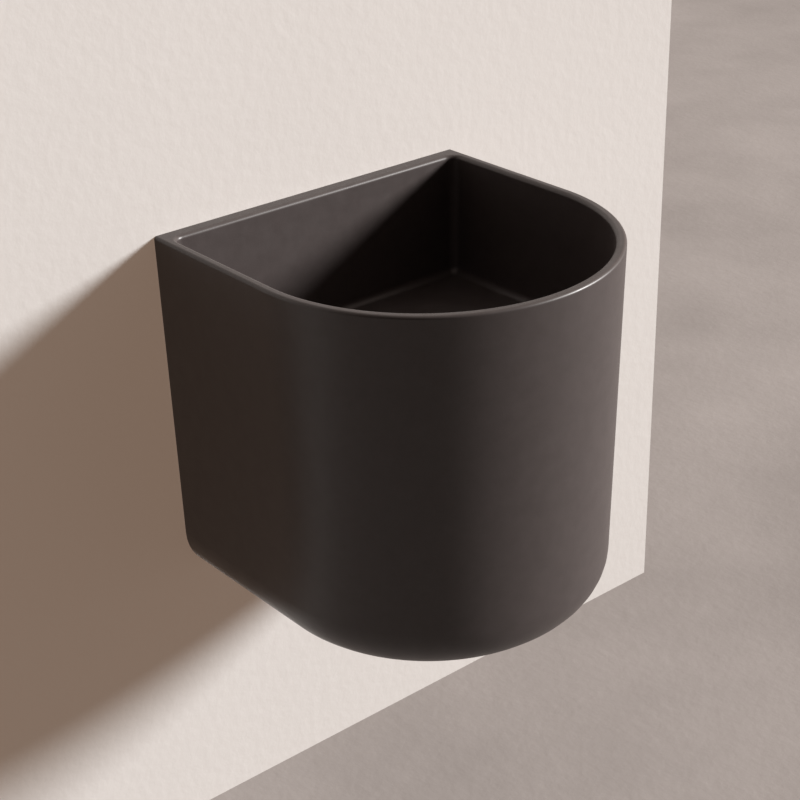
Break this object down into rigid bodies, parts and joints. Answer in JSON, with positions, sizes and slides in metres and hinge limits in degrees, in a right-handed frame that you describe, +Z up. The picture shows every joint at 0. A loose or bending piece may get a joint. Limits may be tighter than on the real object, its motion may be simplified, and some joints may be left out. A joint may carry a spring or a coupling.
{
  "type": "wall hung basin",
  "caption": "Deep D-shaped wall hung basin in one dark satin casting, with a press plug waste and a bottle trap inside its open skirt.",
  "frame": {"origin": "on the wall's face, midway between the two fixing bolts", "axes": "+X along the wall, +Y into the wall, +Z up"},
  "size_m": [0.4498, 0.5079, 0.455],
  "materials": {
    "glaze": "satin charcoal glaze",
    "zinc": "bright zinc plate",
    "nylon": "natural nylon",
    "sleeve": "white plastic",
    "chrome": "bright chrome on brass",
    "brass": "turned brass",
    "steel": "drawn stainless steel",
    "carrier": "moulded black plastic",
    "rubber": "black rubber"
  },
  "bodies": {
    "body": {"basin": "glaze", "hanger_bolts": "zinc", "fixing_washers": "zinc", "fixing_nuts": "zinc", "wall_plugs": "nylon", "fixing_bushes": "sleeve", "slip_washer": "sleeve", "waste_body": "chrome", "inlet_tube": "chrome", "inlet_nut": "chrome", "head_nut": "chrome", "trap_head": "chrome", "outlet_nut": "chrome", "outlet_pipe": "chrome", "wall_rosette": "chrome", "back_nut": "brass", "latch_barrel": "brass", "plug_spring": "steel", "flange_seal": "rubber", "under_seal": "rubber", "inlet_seal": "rubber", "head_seal": "rubber", "cup_seal": "rubber", "outlet_seal": "rubber"},
    "plug": {"plug_cap": "glaze", "cap_seal": "rubber", "cap_carrier": "carrier", "plug_spindle": "steel"},
    "cup": {"trap_cup": "chrome"}
  },
  "joints": [
    {"name": "plug_press", "type": "slide", "parent": "body", "child": "plug", "axis": [0, 0, -1], "range_m": [0, 0.009], "stiffness_N_per_m": 600, "springref_m": -0.012, "deforming": ["plug_spring"]},
    {"name": "cup_unscrew", "type": "slide", "parent": "body", "child": "cup", "axis": [0, 0, -1], "range_m": [0, 0.055]}
  ]
}
